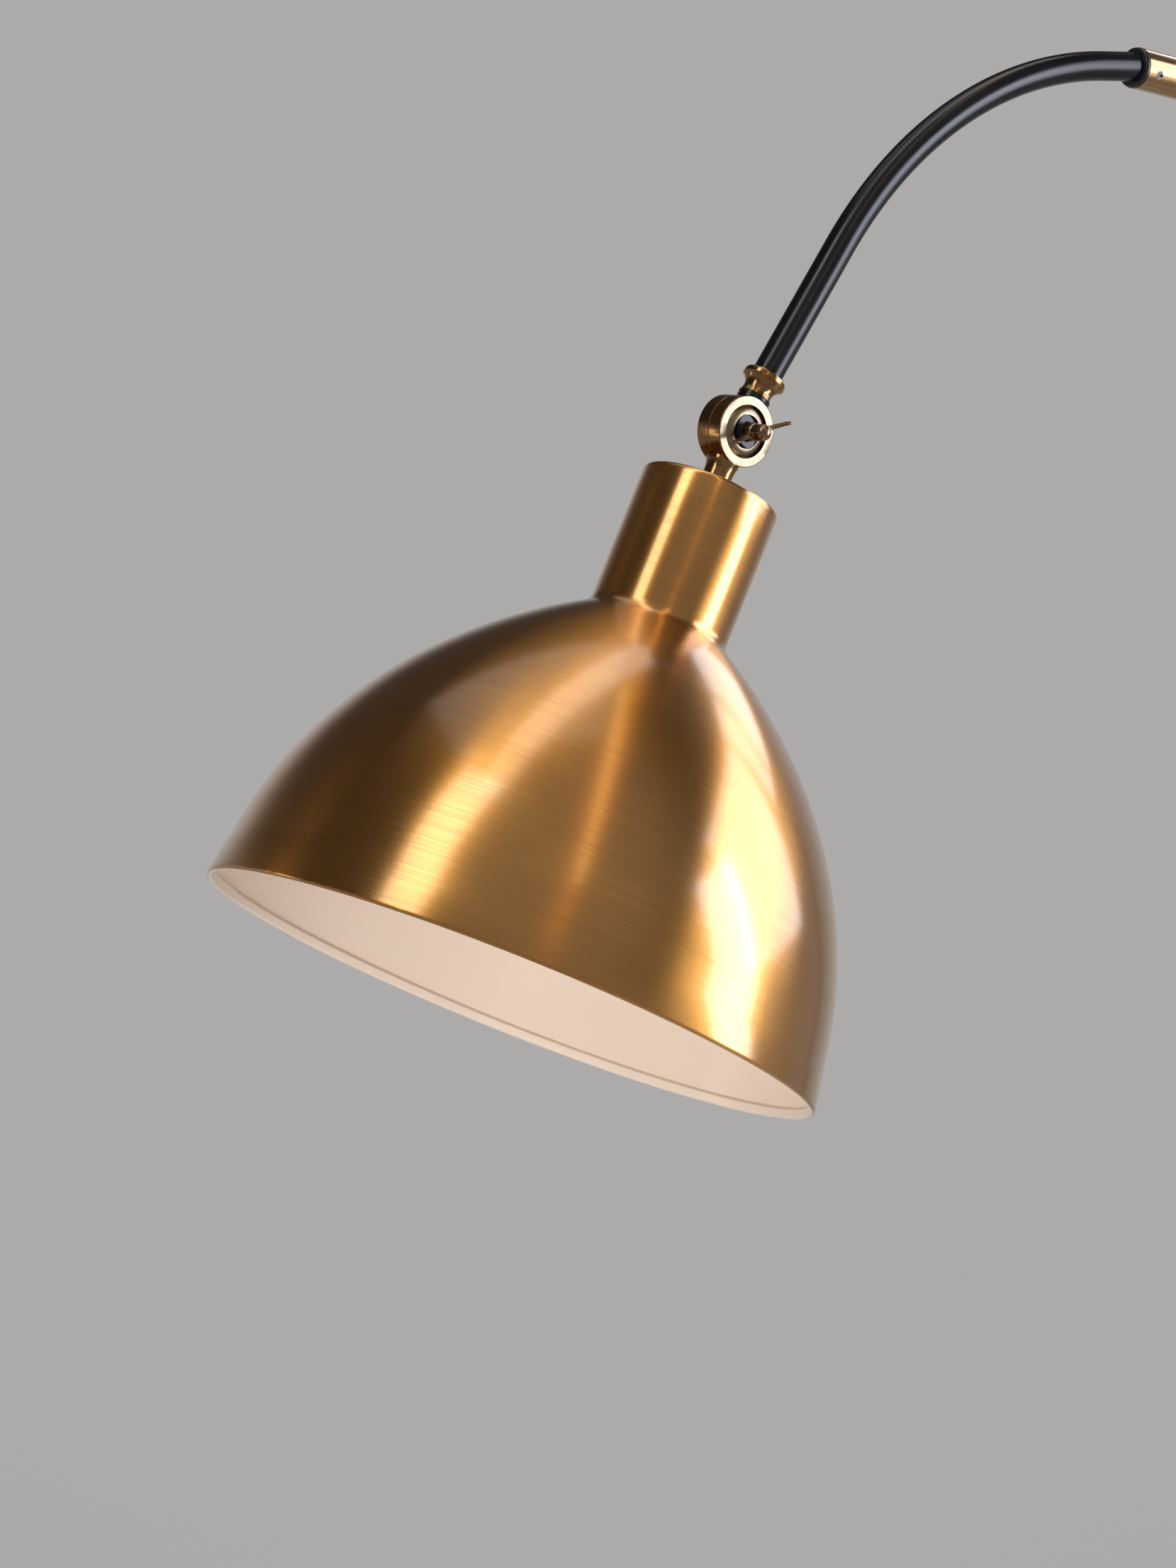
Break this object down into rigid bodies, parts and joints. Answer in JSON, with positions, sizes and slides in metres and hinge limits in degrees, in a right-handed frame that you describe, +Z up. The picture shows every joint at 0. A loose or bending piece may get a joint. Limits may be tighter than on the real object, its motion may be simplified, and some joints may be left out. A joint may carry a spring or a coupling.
{
  "type": "bridge floor lamp",
  "caption": "Adjustable floor lamp: weighted round base, jointed pole, swivelling boom with a hooked arm, and a spun metal dome shade on a wing-nut tilt knuckle.",
  "frame": {"origin": "centre of the round base on the floor", "axes": "+Z up the pole; at rest the boom lies in the XZ plane with the shade towards -X, and the wing nuts point towards -Y"},
  "size_m": [0.9782, 0.3, 1.5581],
  "materials": {
    "brushed_brass": "circumferentially brushed, clear lacquer",
    "aged_brass": "antiqued, half bright",
    "satin_black": "satin powder coat",
    "raw_iron": "as cast",
    "zinc_steel": "zinc plated",
    "black_rubber": "matte",
    "black_plastic": "satin",
    "fibre": "pressed fibre, matte",
    "black_phenolic": "moulded gloss",
    "white_ceramic": "unglazed",
    "nickel": "nickel-plated thread sleeve",
    "contact_brass": "bright spring strip"
  },
  "bodies": {
    "stand": {"base_pad": "black_rubber", "base_weight": "raw_iron", "base_cover": "satin_black", "base_grommet": "black_rubber", "base_washer": "zinc_steel", "base_nut": "zinc_steel", "base_stud": "zinc_steel", "pole_foot": "aged_brass", "pole_plug": "zinc_steel", "pole_tube_lower": "satin_black", "pole_tube_middle": "satin_black", "pole_tube_upper": "satin_black", "pole_joint_lower": "aged_brass", "pole_joint_upper": "aged_brass", "pole_socket": "aged_brass"},
    "swivel": {"swivel_spindle": "aged_brass", "swivel_washer": "zinc_steel", "swivel_clip": "zinc_steel", "pole_knuckle_rear": "aged_brass", "pole_knuckle_bolt": "aged_brass", "pole_stop_pin": "zinc_steel"},
    "pole_wing": {"pole_wing_nut": "aged_brass"},
    "boom": {"pole_knuckle_front": "aged_brass", "pole_friction_disc": "fibre", "pole_cup_washer": "aged_brass", "boom_collar": "aged_brass", "boom_tube": "aged_brass", "boom_bush": "black_plastic", "boom_grub_screw": "zinc_steel", "hook_arm": "satin_black", "arm_collar": "aged_brass", "head_knuckle_rear": "aged_brass", "head_knuckle_bolt": "aged_brass", "head_stop_pin": "zinc_steel"},
    "head_wing": {"head_wing_nut": "aged_brass"},
    "head": {"head_knuckle_front": "aged_brass", "head_friction_disc": "fibre", "head_cup_washer": "aged_brass", "shade": "brushed_brass", "shade_washer": "zinc_steel", "shade_nut": "zinc_steel", "holder_cap": "black_phenolic", "holder_shell": "black_phenolic", "holder_core": "white_ceramic", "socket_sleeve": "nickel", "centre_contact": "contact_brass"}
  },
  "joints": [
    {"name": "boom_swivel", "type": "hinge", "parent": "stand", "child": "swivel", "pos_m": [0, 0, 1.443], "axis": [0, 0, 1], "range_deg": [-165, 165]},
    {"name": "boom_tilt", "type": "hinge", "parent": "swivel", "child": "boom", "pos_m": [0, 0, 1.489], "axis": [0, 1, 0], "range_deg": [-30, 55]},
    {"name": "pole_nut_turn", "type": "hinge", "parent": "swivel", "child": "pole_wing", "pos_m": [0, 0, 1.489], "axis": [0, -1, 0], "range_deg": [0, 360]},
    {"name": "head_tilt", "type": "hinge", "parent": "boom", "child": "head", "pos_m": [-0.59039, 0, 1.39843], "axis": [0, 1, 0], "range_deg": [-70, 90]},
    {"name": "head_nut_turn", "type": "hinge", "parent": "boom", "child": "head_wing", "pos_m": [-0.59039, 0, 1.39843], "axis": [0, -1, 0], "range_deg": [0, 360]}
  ]
}
